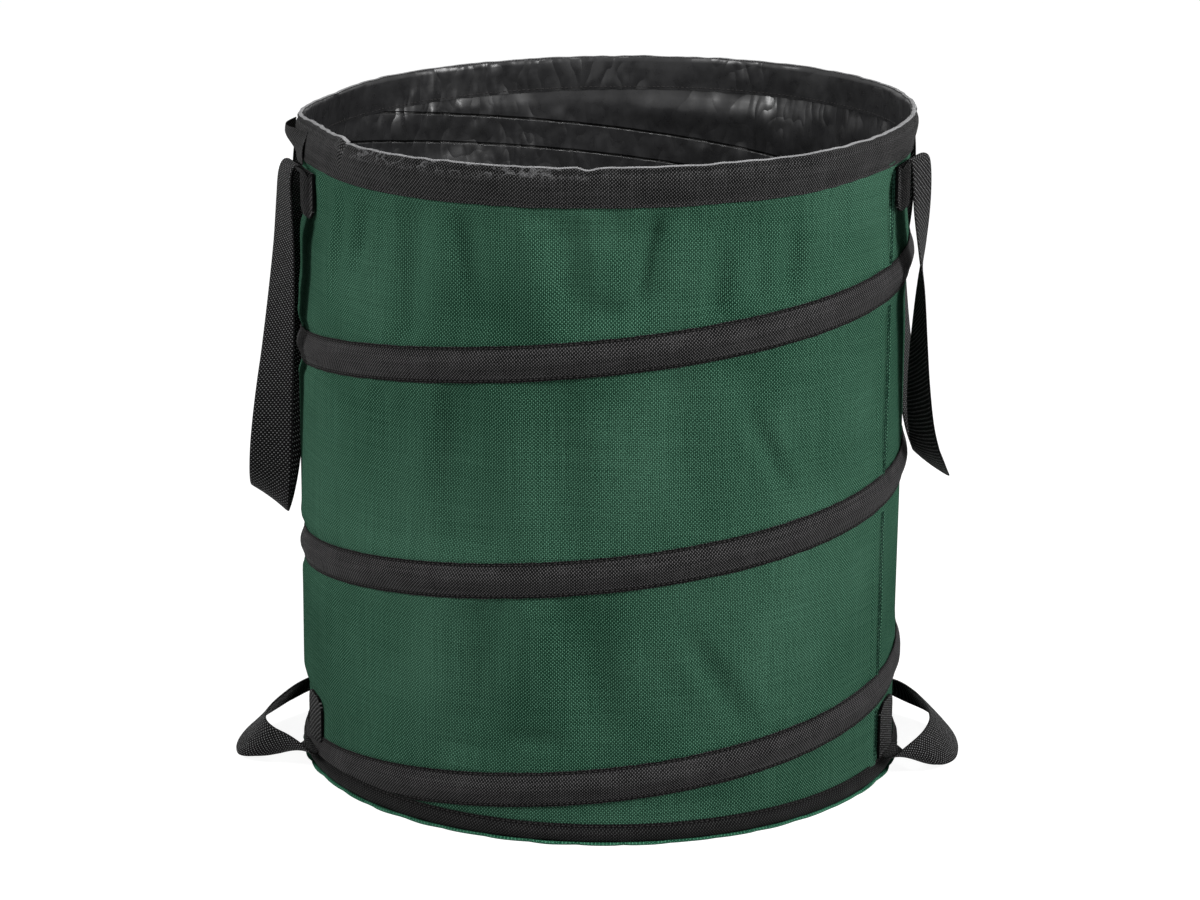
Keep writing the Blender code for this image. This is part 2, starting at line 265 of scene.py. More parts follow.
def make_coating(name, beside_coil):
    made = Finish(name, (0.02, 0.02, 0.021), 0.3, {"Specular IOR Level": 0.34})
    along, across = made.laid_flat()
    buckles = made.grain(along * 0.8, across, 14.0, 1.5, 2.0)
    folds = abs(made.grain(along, across * 0.7, 21.0, 1.5, 5.0) - 0.5) * 2
    wrinkles = abs(made.grain(along * 1.3, across * 0.5, 52.0, 1.0, 15.0) - 0.5) * 2
    patches = made.between(made.grain(along, across, 8.0, 1.0, 21.0), 0.5, 0.62)
    wear_and_edge_line = made.grain(along, across, 90.0, 4.0, 9.0)
    height = buckles * 0.0056 + folds * 0.0034 + wrinkles * patches * 0.003
    tone = made.mix(wear_and_edge_line, (0.009, 0.009, 0.0095), (0.026, 0.026, 0.027))
    if beside_coil:
        climb = coil_pitch / (2 * math.pi * coil_radius)
        turns = (across - coil_foot - (along - math.pi * coil_radius) * climb) / coil_pitch
        from_coil = abs((turns + 0.5) % 1 - 0.5) * coil_pitch
        gathered = 1 - made.between(from_coil, 0.012, 0.03)
        seam_line = 1 - made.between(abs(from_coil - tape_seam), 0.0005, 0.0014)
        puckers = abs(made.grain(along, across * 0.45, 66.0, 1.0, 11.0) - 0.5) * 2
        height = height + puckers * gathered * 0.0026 - seam_line * 0.0006
        tone = made.mix(seam_line, tone, near_black)
    normal = made.bump(height, 1.0, 0.85)
    return made.feed(base_color=tone, roughness=0.17 + wear_and_edge_line * 0.26, normal=normal)


coating_finish = make_coating("black_coating", True)
lining_finish = make_coating("plain_coating", False)

# %% [markdown]
# ## Black tape, hem cloth and webbing
# The tape is a fine flat weave. The hem is the same stuff, with a painted grey highlight along its folded top,
# and crests on its crumples at the front left painted lighter grey, partly rubbed cloth and partly painted
# highlight.
# Webbing is far coarser: thick ribs, with painted highlights on them as rows of bright dots on black.

# %% Tape, hem and webbing
def make_tape(name, light, edge, crumpled=False):
    """The edge gives a place across the strip, how far its line reaches, and the line's colour."""
    made = Finish(name, light, 0.85, {"Specular IOR Level": 0.04})
    along, across = made.laid_flat()
    threads, upper = weave(made, along, across + along * 0.12, 0.0012, 0.001)
    streaks = slubs(made, along, across, 700.0) - 0.5
    worn = made.grain(along, across, 55.0, 5.0, 4.0)
    share = threads * (upper * 0.8 + 0.4) + streaks + (worn - 0.5) * 0.4
    tone = made.mix(made.between(share, 0.18, 1.1), soot, light)
    middle, reach, colour = edge
    from_edge = abs(abs(across) - middle)
    # Along each edge a line is painted in the edge's colour: a dark seam line on the tape and the band, and on
    # the hem a painted grey highlight along the fold.
    wear_and_edge_line = (1 - made.between(from_edge, reach * 0.4, reach)) * (worn * 0.6 + 0.55)
    tone = made.mix(wear_and_edge_line, tone, colour)
    rough = 0.86 - threads * 0.16
    height = threads * 0.0003 + worn * 0.0006
    if crumpled:
        below_edge = 1 - made.between(from_edge, 0.0035, 0.0105)
        spread = 1 - made.between(abs(along + 0.48), 0.06, 0.14)
        wrinkles = abs(made.grain(along, across * 1.5, 70.0, 2.0, 8.0) - 0.5) * 2
        # The crests of the crumples are painted lighter grey, partly rubbed cloth and partly painted highlight.
        # The bump also raises them.
        crests = (1 - made.between(wrinkles, 0.0, 0.09)) * below_edge * spread
        tone = made.mix(crests * 0.4, tone, (0.24, 0.24, 0.245))
        height = height + crests * 0.0012
    return made.feed(base_color=tone, roughness=rough, normal=made.bump(height, 1.0, 0.9))


hem_height = 0.0276
webbing_width, webbing_thickness = 0.038, 0.0018
sewn_edge = (0.0116, 0.0016, near_black)
band_edge = (0.0139, 0.0012, near_black)
# The hem's top edge is painted light grey, a painted highlight along the fold.
fold_highlight_edge = (hem_height - 0.0002, 0.0008, (0.3, 0.3, 0.305))
tape_finish = make_tape("black_tape", (0.1, 0.097, 0.099), sewn_edge)
band_finish = make_tape("black_band", (0.039, 0.039, 0.039), band_edge)
hem_finish = make_tape("black_hem", (0.09, 0.089, 0.09), fold_highlight_edge, crumpled=True)


def make_webbing(name):
    made = Finish(name, (0.02, 0.02, 0.021), 0.7, {"Specular IOR Level": 0.06})
    along, across = made.laid_flat()
    ribs, upper = weave(made, along + across * 0.35, across, 0.0018, 0.0005)
    fuzz = made.grain(along, across, 500.0, 3.0) - 0.5
    inside_edge = made.between(webbing_width / 2 - abs(across), 0.0, 0.001)
    # The bright dots on the ribs are painted highlights on the black webbing.
    rib_highlights = made.between(ribs * (upper * 0.9 + 0.1) + fuzz * 0.5, 0.55, 1.0) * inside_edge
    return made.feed(
        base_color=made.mix(rib_highlights, near_black, (0.19, 0.19, 0.192)),
        roughness=0.8 - ribs * 0.2,
        normal=made.bump(ribs + fuzz * 0.3, 0.0009, 0.9),
    )


webbing_finish = make_webbing("black_webbing")

# %% [markdown]
# ## Thread and spring steel
# A sewing thread is twisted, so its light and dark run in a slant. The spring wire is drawn through a die,
# which leaves fine lines and a slight blue heat tint.

# %% Thread and steel
def make_thread(name, dark, light):
    made = Finish(name, light, 0.7, {"Specular IOR Level": 0.1})
    along, across = made.laid_flat()
    twist = abs(((along + across) * (math.pi / 0.0006)).math("SINE"))
    tone = made.mix(twist, dark, light)
    return made.feed(base_color=tone, normal=made.bump(twist, 0.0001, 0.6))


black_thread = make_thread("black_thread", soot, (0.05, 0.047, 0.047))
green_thread = make_thread("green_thread", (0.001, 0.008, 0.005), (0.004, 0.03, 0.018))

steel = Finish("spring_steel", (0.42, 0.43, 0.45), 0.3, {"Metallic": 1.0})
drawn = steel.clouds(steel.place(), 900.0, 3.0)
tint = steel.clouds(steel.place(), 25.0)
steel_finish = steel.feed(
    base_color=steel.mix(tint, (0.36, 0.37, 0.4), (0.5, 0.5, 0.51)),
    roughness=0.22 + drawn * 0.25,
    normal=steel.bump(drawn, 0.00005, 0.4),
)

# %% [markdown]
# ## Helpers for modelling
# Every piece starts from a primitive and is shaped in edit mode. An operator works on all that is selected, so
# each helper first selects only what it should. `shape` moves single points by a rule, as a hand does that
# smooths or dents a soft thing, and `lay_flat` writes the UV map in metres.

# %% Selecting, shaping and finishing
def select_only(piece):
    bpy.ops.object.select_all(action="DESELECT")
    piece.select_set(True)
    bpy.context.view_layer.objects.active = piece


def begin(name):
    """Names the primitive that was just added and puts its place into its mesh."""
    piece = bpy.context.object
    piece.name = piece.data.name = name
    select_only(piece)
    bpy.ops.object.transform_apply()
    return piece


def edit(piece, chosen=None, kind="EDGE"):
    """Goes into edit mode with the edges or points that pass the test, or with all selected."""
    select_only(piece)
    bpy.ops.object.mode_set(mode="EDIT")
    bpy.ops.mesh.select_mode(type=kind)
    bpy.ops.mesh.select_all(action="SELECT" if chosen is None else "DESELECT")
    if chosen:
        mesh = bmesh.from_edit_mesh(piece.data)
        for part in mesh.edges if kind == "EDGE" else mesh.verts:
            corners = part.verts if kind == "EDGE" else [part]
            part.select_set(chosen(*[corner.co for corner in corners]))
        bmesh.update_edit_mesh(piece.data)


def subdivide_upright(piece, chosen, cuts):
    edit(piece, chosen)
    bpy.ops.mesh.subdivide(number_cuts=cuts)
    leave_edit()


def leave_edit():
    bpy.ops.object.mode_set(mode="OBJECT")


def shape(piece, rule):
    for corner in piece.data.vertices:
        corner.co = rule(corner.co.copy())
    piece.data.update()


def apply_modifier(piece, kind, **settings):
    select_only(piece)
    added = piece.modifiers.new(kind, kind)
    for name, value in settings.items():
        setattr(added, name, value)
    bpy.ops.object.modifier_apply(modifier=added.name)


def thicken(piece, thickness, offset=-1, second_finish=0):
    """Gives cloth its thickness, inwards from its outer side, or to both sides when the offset is 0."""
    apply_modifier(piece, "SOLIDIFY", thickness=thickness, offset=offset, material_offset=second_finish)


def lay_flat(piece, rule):
    """Writes the UV map "flat": the rule gives metres along and across from a point and its face's middle."""
    mesh = piece.data
    while mesh.uv_layers:
        mesh.uv_layers.remove(mesh.uv_layers[0])
    flat = mesh.uv_layers.new(name="flat")
    for face in mesh.polygons:
        middle = face.center
        for loop in face.loop_indices:
            flat.data[loop].uv = rule(mesh.vertices[mesh.loops[loop].vertex_index].co, middle)


def outwards(piece):
    edit(piece)
    bpy.ops.mesh.remove_doubles(threshold=0.00001)
    bpy.ops.mesh.normals_make_consistent(inside=False)
    leave_edit()


def paint(piece, *finishes):
    """The first finish is the outer side's. A second one is for the side that Solidify adds."""
    piece.data.materials.clear()
    for finish in finishes:
        piece.data.materials.append(finish)


def finish_piece(piece, body, stands_for=(), squash=None, bent=None):
    """Gives a finished piece its smooth faces and its body, or bakes its place into its mesh, and prints how
    many triangles it has.
    """
    select_only(piece)
    bpy.ops.object.shade_smooth_by_angle(angle=math.radians(60))
    if bent:
        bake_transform(piece)
    else:
        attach(piece, body)
    if stands_for:
        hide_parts(*stands_for)
    if squash:
        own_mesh(piece)
    piece.data.calc_loop_triangles()
    print(f"{piece.name}: {len(piece.data.loop_triangles)} triangles on {body}")


# %% [markdown]
# ## Where things are on a drum
# Every cloth piece lies on one cylinder, so a place is an angle round the bag, counted from the right as seen
# from above, and a height. The mouth tips up a little towards the back right, where the spring pushes hardest.

# %% The drum's measures
bag_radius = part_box("wall_ring_2")[1].x
band_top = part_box("base_band")[1].z
hem_middle = 0.4674
tilt_right, tilt_back, tilt_radius = 0.0052, 0.0083, 0.23
wire_radius, tape_thickness, tape_crown = 0.0012, 0.0006, 0.0046
# Where a piece that squashes stays put, and its share of height when the bag is pressed flat.
squash_anchor = 0.0155
press_tape, press_wall = (squash_anchor, 0.1104), (squash_anchor, 0.125)
print(f"wall radius {bag_radius:.4f}, base band up to {band_top:.4f}")


def at(angle, radius, height):
    return Vector((radius * math.cos(angle), radius * math.sin(angle), height))


def angle_of(place):
    return math.atan2(place.y, place.x)


def on_the_drum(place):
    """A point's angle round the bag and how far it stands out from the wall."""
    return angle_of(place), place.to_2d().length - bag_radius


def hem_foot(angle):
    return hem_middle + tilt_right * math.cos(angle) + tilt_back * math.sin(angle)


def coil_height(angle):
    return coil_foot + coil_pitch * (angle - math.pi) / (2 * math.pi)


def nearest_turn(angle, height):
    """The number of the coil's turn that is nearest to this height at this angle."""
    return round((height - coil_height(angle)) / coil_pitch)


def round_the_bag(place, middle):
    """Metres round the bag and up it. The angle is taken near the face's own, so no face spans the join."""
    near = angle_of(middle)
    angle = near + (angle_of(place) - near + math.pi) % (2 * math.pi) - math.pi
    return angle * bag_radius, place.z


def ripple(angle, height, across, up, seed):
    """A soft random wave round the bag, from -1 to 1, that meets itself."""
    return noise.noise(Vector((math.cos(angle) * across, math.sin(angle) * across, height * up + seed)))


def hump(value, middle, width):
    """1 at the middle, falling smoothly to 0 half a width away."""
    reach = abs(value - middle) / (width / 2)
    return 0.5 + 0.5 * math.cos(math.pi * reach) if reach < 1 else 0.0


def step_up(value, low, high):
    share = min(max((value - low) / (high - low), 0), 1)
    return share * share * (3 - 2 * share)


def angle_gap(angle, other):
    return (angle - other + math.pi) % (2 * math.pi) - math.pi


def hump_round(angle, degrees, width):
    """A hump at a place round the bag, given in degrees, with its width as an angle."""
    return hump(angle_gap(angle, math.radians(degrees)), 0, width)


def mouth_lean(angle, up):
    """How far the mouth leans in at the left, where its ring is bent, at a height over the hem's foot."""
    front = hump_round(angle, 200, math.radians(44)) ** 0.7
    behind = hump_round(angle, 160, math.radians(46))
    return (0.0125 * front + 0.0068 * behind) * step_up(up, -0.012, 0.036)


# Degrees round the bag, and millimetres that the hem's top and its foot stand above a flat ring there.
mouth_rises = (
    (183, 0.0, 0.0),
    (195, 2.2, 1.4),
    (203, 3.0, 2.4),
    (208, 3.4, 2.2),
    (213.8, 5.0, 1.6),
    (215.6, 3.0, 1.4),
    (226, 2.6, 1.1),
    (237, 2.4, 0.8),
    (262, 1.6, 0.6),
    (290, 0.8, -0.4),
    (306, -0.4, -1.5),
    (325, 0.0, 0.2),
    (345, 0.6, 0.0),
    (360, 0.0, 0.0),
)


def mouth_rise(angle, up):
    """How far the mouth's edge is pulled up, at a height over the hem's foot."""
    turned = math.degrees(angle) % 360
    for (start, top, foot), (end, next_top, next_foot) in zip(mouth_rises, mouth_rises[1:]):
        if start <= turned <= end:
            share = step_up(turned, start, end)
            top, foot = top + (next_top - top) * share, foot + (next_foot - foot) * share
            return (foot + (top - foot) * step_up(up, 0.0, hem_height)) / 1000
    return 0.0


# %% [markdown]
# ## The wall
# The wall is one length of cloth, sewn into a tube. It could be a plain cylinder, but real cloth hangs between
# the turns of the spring: it draws in a little, buckles in upright folds and puckers beside each seam. A tube
# is added, its upright edges are cut into many rows, and a rule moves each point. Solidify then gives it the
# cloth's thickness and puts the shiny coating on the inner side.

# %% A tube with many rows
wall_foot, wall_rise = 0.0105, 0.0225
wall_rows = 112
bpy.ops.mesh.primitive_cylinder_add(
    vertices=416, radius=bag_radius, depth=1, end_fill_type="NOTHING", location=(0, 0, 0.5)
)
wall = begin("wall_cloth")
subdivide_upright(wall, lambda a, b: abs(a.z - b.z) > 0.5, wall_rows - 1)
print("wall:", len(wall.data.vertices), "points")

# %% Hang the cloth between the turns of the spring
seam_angle = math.radians(-24.6)
lap = 0.014 / bag_radius
# Degrees round the bag, middle height, length, width and depth of each crease, and how far its foot leans.
creases = (
    (264.0, 0.410, 0.137, 0.039, 0.0058, -0.06),
    (277.5, 0.418, 0.111, 0.029, 0.0051, 0.10),
    (290.0, 0.400, 0.117, 0.034, 0.0046, 0.12),
    (271.0, 0.385, 0.030, 0.043, 0.0032, 0.00),
    (246.0, 0.420, 0.091, 0.031, 0.0034, -0.15),
    (234.0, 0.405, 0.130, 0.037, 0.0037, 0.05),
    (221.0, 0.424, 0.065, 0.022, 0.0034, 0.20),
    (213.0, 0.410, 0.098, 0.022, 0.0030, 0.15),
    (305.0, 0.415, 0.078, 0.026, 0.0030, 0.10),
    (229.0, 0.335, 0.078, 0.029, 0.0030, 0.55),
    (243.0, 0.300, 0.156, 0.045, 0.0037, 0.05),
    (262.0, 0.280, 0.182, 0.057, 0.0043, 0.00),
    (284.0, 0.300, 0.143, 0.048, 0.0037, -0.05),
    (301.0, 0.280, 0.078, 0.026, 0.0027, -0.50),
    (249.0, 0.140, 0.156, 0.053, 0.0040, 0.10),
    (268.0, 0.130, 0.130, 0.053, 0.0040, -0.10),
    (291.0, 0.120, 0.104, 0.034, 0.0030, -0.60),
    (258.0, 0.076, 0.018, 0.076, 0.0024, 0.00),
    (20.0, 0.400, 0.130, 0.039, 0.0051, 0.10),
    (52.0, 0.380, 0.143, 0.045, 0.0051, -0.10),
    (95.0, 0.300, 0.156, 0.048, 0.0051, 0.15),
    (128.0, 0.350, 0.117, 0.039, 0.0043, -0.20),
    (80.0, 0.140, 0.130, 0.048, 0.0043, 0.10),
    (150.0, 0.160, 0.117, 0.039, 0.0043, 0.20),
)


def creased(angle, height):
    """How deep the creases are at a place. Each is a long soft valley with a ridge on either side."""
    depth = 0.0
    for degrees, middle, length, width, most, lean in creases:
        along = height - middle
        aside = angle_gap(angle, math.radians(degrees)) * bag_radius - along * lean
        if abs(along) < length / 2 and abs(aside) < width:
            ridges = hump(aside, width * 0.6, width) + hump(aside, -width * 0.6, width)
            depth += most * (hump(aside, 0, width) - 0.45 * ridges) * hump(along, 0, length) ** 0.6
    return depth


def hang_cloth(place):
    angle = angle_of(place)
    top = hem_foot(angle) + wall_rise
    height = wall_foot + place.z * (top - wall_foot)
    below = hem_foot(angle) - height
    apart = abs(height - coil_height(angle) - coil_pitch * nearest_turn(angle, height))
    between_seams = step_up(apart, 0.010, 0.024)
    free = step_up(apart, 0.012, 0.034) * step_up(below, 0.0, 0.02)
    free *= step_up(height, band_top, band_top + 0.02)
    slack = 1 - 0.8 * math.cos(angle) ** 4
    draw = (0.0006 + 0.0010 * step_up(height, 0.33, 0.37)) * free
    folds = 0.0046 * free * slack * (ripple(angle, height, 3.4, 2.2, 1.0) - 0.15)
    buckle = 0.0018 * free * slack * (ripple(angle, height, 8.0, 6.0, 8.0) - 0.2)
    covered = step_up(below, -0.001, 0.006)
    puckers = 0.0010 * (1 - step_up(apart, 0.014, 0.034)) * (ripple(angle, height, 24.0, 12.0, 3.0) - 0.4)
    sewn = 0.0022 * (1 - step_up(below, 0.0, 0.07)) * (ripple(angle, height, 13.0, 4.0, 6.0) - 0.35)
    puckers, sewn = puckers * covered, sewn * covered
    full = 0.0044 * hump_round(angle, 180, 1.9) * between_seams
    full *= 1 - 0.35 * step_up(height, 0.36, 0.38)
    full *= step_up(below, 0.042, 0.056) * step_up(height, 0.052, 0.068)
    past = angle_gap(angle, seam_angle) + lap
    raised = 0.0013 * step_up(past, 0, lap * 0.15) if past < lap else 0.0
    under = -0.0026 * hump(past, lap * 1.28, lap * 0.6) * free
    inward = mouth_lean(angle, -below)
    rise = mouth_rise(angle, max(-below, 0)) * step_up(-below, -0.03, 0.0)
    radius = bag_radius - draw + folds + buckle + puckers + sewn + raised + under + full - inward
    radius -= creased(angle, height) * between_seams * step_up(below, 0.0, 0.016)
    return at(angle, radius, height + rise)


shape(wall, hang_cloth)
lay_flat(wall, round_the_bag)
outwards(wall)
paint(wall, cloth_finish, coating_finish)
thicken(wall, 0.001, second_finish=1)
wall_nodes = [f"{kind}_{number}" for kind in ("wall_ring", "side_seam") for number in (1, 2, 3, 4)]
finish_piece(wall, "base", wall_nodes, press_wall)

# %% [markdown]
# ## The spring and its tape
# The tape is sewn down at both edges and stands over the wire like a low tent. One profile is drawn from a
# single point by extruding it, and the Screw modifier turns it three times round the bag while it climbs. The
# turns run on behind the base band and the hem on the real bag, so the strip is cut where it meets them.

# %% Draw a profile by extruding one point
def draw_profile(name, points):
    """A chain of edges through (radius, height) points at the bag's left side."""
    bpy.ops.mesh.primitive_plane_add(size=0.001)
    piece = begin(name)
    edit(piece, kind="VERT")
    bpy.ops.mesh.merge(type="CENTER")
    radius, height = points[0]
    bpy.ops.transform.translate(value=(-radius, 0, height))
    for r, z in points[1:]:
        bpy.ops.mesh.extrude_region_move(TRANSFORM_OT_translate={"value": (radius - r, 0, z - height)})
        radius, height = r, z
    leave_edit()
    return piece


def cut(piece, height, normal, closed=False):
    """Cuts the piece with a plane through the bag's middle and clears the side that the normal points to."""
    edit(piece)
    bpy.ops.mesh.bisect(plane_co=(0, 0, height), plane_no=normal, clear_outer=True, use_fill=closed)
    leave_edit()


def wind(piece):
    """Turns a profile three times round the bag while it climbs."""
    apply_modifier(
        piece, "SCREW", steps=168, render_steps=168, iterations=3, screw_offset=coil_pitch,
        angle=2 * math.pi, use_merge_vertices=False,
    )


# %% Wind the tape
tape_section = (
    (0.0009, -0.0130),
    (0.0012, -0.0123),
    (0.0010, -0.0112),
    (0.0013, -0.0100),
    (0.0022, -0.0076),
    (0.0034, -0.0048),
    (0.0043, -0.0024),
    (0.0046, -0.0006),
    (0.0046, 0.0008),
    (0.0043, 0.0026),
    (0.0034, 0.0050),
    (0.0022, 0.0078),
    (0.0013, 0.0100),
    (0.0010, 0.0112),
    (0.0012, 0.0123),
    (0.0009, 0.0130),
)
tape = draw_profile("spring_tape_cloth", [(bag_radius + out, coil_foot + up) for out, up in tape_section])
wind(tape)
print("tape winds up to", max(corner.co.z for corner in tape.data.vertices))
down = Vector((0, 0, -1))
mouth_slope = Vector((-tilt_right / tilt_radius, -tilt_back / tilt_radius, 1))
cut(tape, band_top + 0.0003, down)
cut(tape, hem_middle - 0.0003, mouth_slope)


def ease_tape(place):
    """Lets the tape's crown wander a little, as sewn tape does."""
    angle, out = on_the_drum(place)
    lift = step_up(out, 0.001, tape_crown)
    wander = 0.0004 * ripple(angle, place.z, 12.0, 20.0, 2.0) * lift
    pull = 0.0005 * ripple(angle, place.z, 26.0, 20.0, 4.0) * (1 - lift)
    inward = mouth_lean(angle, place.z - hem_foot(angle))
    return at(angle, bag_radius + out + wander - 0.0002 * lift - inward, place.z + pull)


def along_the_coil(place, middle):
    round_it, height = round_the_bag(place, middle)
    angle = round_it / bag_radius
    turn = nearest_turn(angle, middle.z)
    return (angle + 2 * math.pi * turn) * bag_radius, height - coil_height(angle) - coil_pitch * turn


shape(tape, ease_tape)
lay_flat(tape, along_the_coil)
outwards(tape)
thicken(tape, tape_thickness)
paint(tape, tape_finish)
finish_piece(tape, "base", ["spring_tape"], press_tape)

# %% Wind the wire inside it
coil_out = 0.0020
bpy.ops.mesh.primitive_circle_add(
    vertices=8, radius=wire_radius, location=(-bag_radius - coil_out, 0, coil_foot),
    rotation=(math.pi / 2, 0, 0),
)
coil = begin("spring_coil_wire")
wind(coil)
cut(coil, 0.018, down, closed=True)
cut(coil, hem_middle - 0.006, mouth_slope, closed=True)
outwards(coil)
paint(coil, steel_finish)
finish_piece(coil, "base", ["spring_coil"], press_tape)

# %% [markdown]
# ## The hem at the mouth
# The hem is a strip of black cloth folded over the top of the wall, with a spring ring inside. Its outer side
# swells over the ring, a row of stitches makes a groove above it, and the fold is a thin edge with a painted
# grey highlight.
# Its section is drawn once and turned round the bag. A rule then tips it, dents it where the ring is bent, and
# crumples its top.

# %% Turn a profile round the bag
def turn_round(name, points, steps):
    piece = draw_profile(name, points)
    apply_modifier(
        piece, "SCREW", steps=steps, render_steps=steps, angle=2 * math.pi, use_merge_vertices=True
    )
    return piece


hem_section = (
    (0.0010, 0.0000),
    (0.0013, 0.0007),
    (0.0012, 0.0016),
    (0.0010, 0.0024),
    (0.0014, 0.0036),
    (0.0023, 0.0066),
    (0.0033, 0.0104),
    (0.0041, 0.0140),
    (0.0046, 0.0170),
    (0.0046, 0.0196),
    (0.0040, 0.0216),
    (0.0031, 0.0227),
    (0.0030, 0.0234),
    (0.0034, 0.0244),
    (0.0035, 0.0258),
    (0.0031, 0.0269),
    (0.0022, 0.0275),
    (0.0012, 0.0276),
    (0.0001, 0.0273),
    (-0.0009, 0.0266),
    (-0.0016, 0.0252),
    (-0.0019, 0.0225),
    (-0.0019, 0.0150),
    (-0.0019, 0.0075),
    (-0.0019, 0.0000),
)
hem = turn_round("rim_hem_cloth", [(bag_radius + out, up) for out, up in hem_section], 600)
paint(hem, hem_finish, lining_finish)
for face in hem.data.polygons:
    face.material_index = int(face.center.to_2d().length < bag_radius - 0.0012)
# Degrees round the bag, width as an angle, drop and inward push of each place where the ring is bent.
bends = ((215.5, 0.04, 0.0006, 0.0022), (267, 0.07, 0.0020, 0.0014))


def fold_hem(place):
    (angle, out), up = on_the_drum(place), place.z
    upper = step_up(up, 0.004, hem_height)
    top = step_up(up, 0.021, hem_height)
    outer = step_up(out, -0.0012, 0.0004)
    wave = ripple(angle, up, 7.0, 0.0, 3.0)
    crumple = ripple(angle, up, 24.0, 70.0, 5.0) * (0.35 + 0.65 * hump_round(angle, 242, 1.5))
    out += (0.0034 * crumple * top + 0.0008 * wave * upper - 0.0007 * upper) * outer
    out += 0.0005 * ripple(angle, up, 16.0, 50.0, 15.0) * outer * step_up(up, 0.003, 0.01)
    rise = 0.0006 * ripple(angle, 0, 18.0, 0.0, 9.0) * top - 0.0004 * top
    rise += 0.0005 * ripple(angle, 0, 22.0, 0.0, 12.0) * (1 - upper)
    for degrees, width, drop, inward in bends:
        near = hump_round(angle, degrees, width)
        out -= inward * near * upper
        rise -= drop * near * upper
    rise += mouth_rise(angle, up)
    return at(angle, bag_radius + out - mouth_lean(angle, up), hem_foot(angle) + up + rise)


def across_the_hem(place, middle):
    """Metres round the bag, and metres up the outer side, over the top and down the inner side."""
    round_it, up = round_the_bag(place, middle)
    inner = middle.to_2d().length < bag_radius - 0.0004
    return round_it, 2 * hem_height - up if inner else up


lay_flat(hem, across_the_hem)
shape(hem, fold_hem)
outwards(hem)
thicken(hem, tape_thickness)
finish_piece(hem, "rim", ["rim_hem"])

# %% The spring ring inside it
ring_out, ring_up = 0.0016, 0.0186
bpy.ops.mesh.primitive_torus_add(
    major_radius=bag_radius + ring_out, minor_radius=wire_radius, major_segments=240, minor_segments=8,
    location=(0, 0, ring_up),
)
ring = begin("rim_ring_steel")


def bend_ring(place):
    angle, out = on_the_drum(place)
    radius = bag_radius + out - mouth_lean(angle, place.z)
    for degrees, width, drop, inward in bends:
        radius -= inward * 0.6 * hump_round(angle, degrees, width)
    return at(angle, radius, hem_foot(angle) + place.z + mouth_rise(angle, place.z))


shape(ring, bend_ring)
paint(ring, steel_finish)
finish_piece(ring, "rim", ["rim_ring_wire"])

bpy.ops.mesh.primitive_cylinder_add(
    vertices=20, radius=0.0015, depth=0.02, end_fill_type="NOTHING", rotation=(math.pi / 2, 0, 0)
)
ferrule = begin("rim_ring_crimp")
subdivide_upright(ferrule, lambda a, b: abs(a.y - b.y) > 0.01, 9)


def crimp(place):
    """Pinched at three places, then laid on the ring behind the left side."""
    pinch = 1 - 0.14 * sum(hump(place.y, spot, 0.004) for spot in (-0.006, 0, 0.006))
    angle = math.radians(168.75) + place.y / bag_radius
    radius = bag_radius + ring_out + place.x * pinch - mouth_lean(angle, ring_up)
    return at(angle, radius, hem_foot(angle) + ring_up + place.z * pinch)


shape(ferrule, crimp)
thicken(ferrule, 0.0003)
paint(ferrule, steel_finish)
finish_piece(ferrule, "rim", ["rim_ring_ferrule"])

# %% The free end of the hem's strip
# It lies over the hem at the left and stands off where it turns back on itself.
bpy.ops.mesh.primitive_grid_add(x_subdivisions=18, y_subdivisions=14, size=1)
flap = begin("hem_end_flap_cloth")
flap_start, flap_turn = math.radians(176.5), math.radians(18.0)
lay_flat(flap, lambda place, middle: (place.x * flap_turn * bag_radius, (place.y + 0.5) * 0.024))


def lift_flap(place):
    along, up = place.x + 0.5, (place.y + 0.5) * 0.0235 - 0.0030
    angle = flap_start + flap_turn * along
    swell = 0.0012 + 0.0036 * step_up(up, 0.001, 0.017) - 0.0009 * step_up(up, 0.018, 0.025)
    lift = 0.0011 + 0.0068 * hump(along, 0.42, 1.0) * step_up(up, -0.004, 0.016)
    curl = 0.0012 * step_up(along, 0.75, 1.0) * math.sin(up * 260)
    radius = bag_radius + swell + lift + curl - mouth_lean(angle, up)
    return at(angle, radius, hem_foot(angle) + up + mouth_rise(angle, up))


shape(flap, lift_flap)
outwards(flap)
thicken(flap, tape_thickness)
paint(flap, hem_finish)
finish_piece(flap, "rim", ["hem_end_flap"])

# %% [markdown]
# ## The base
# The base ring sits in a black band round the foot of the wall. The band wraps under the wall and up inside, so
# it is one turned profile like the hem. A thin roll of the green base cloth shows below it, pulled into small
# scallops by its stitches. The floor of the bag is a disc of the same cloth, coated inside.

# %% Base band
base_section = (
    (0.0009, band_top - 0.0001),
    (0.0012, band_top - 0.0007),
    (0.0010, band_top - 0.0017),
    (0.0016, band_top - 0.0026),
    (0.0028, band_top - 0.0040),
    (0.0039, band_top - 0.0054),
    (0.0045, band_top - 0.0069),
    (0.0046, band_top - 0.0084),
    (0.0042, band_top - 0.0100),
    (0.0032, band_top - 0.0116),
    (0.0020, band_top - 0.0129),
    (0.0009, band_top - 0.0138),
    (0.0003, 0.0010),
    (-0.0006, 0.0007),
    (-0.0014, 0.0012),
    (-0.0019, 0.0024),
    (-0.0019, 0.0110),
    (-0.0019, 0.0200),
)
band = turn_round("base_band_cloth", [(bag_radius + out, up) for out, up in base_section], 336)


def ease_band(place):
    angle, out = on_the_drum(place)
    lift = step_up(out, 0.001, tape_crown)
    wander = 0.0005 * ripple(angle, 0, 14.0, 0.0, 2.0) * lift - 0.0003 * lift
    rise = 0.0004 * ripple(angle, 0, 24.0, 0.0, 7.0) * step_up(place.z, 0.001, 0.01) * (out > 0)
    return at(angle, bag_radius + out + wander, place.z + rise * (place.z < 0.0145))


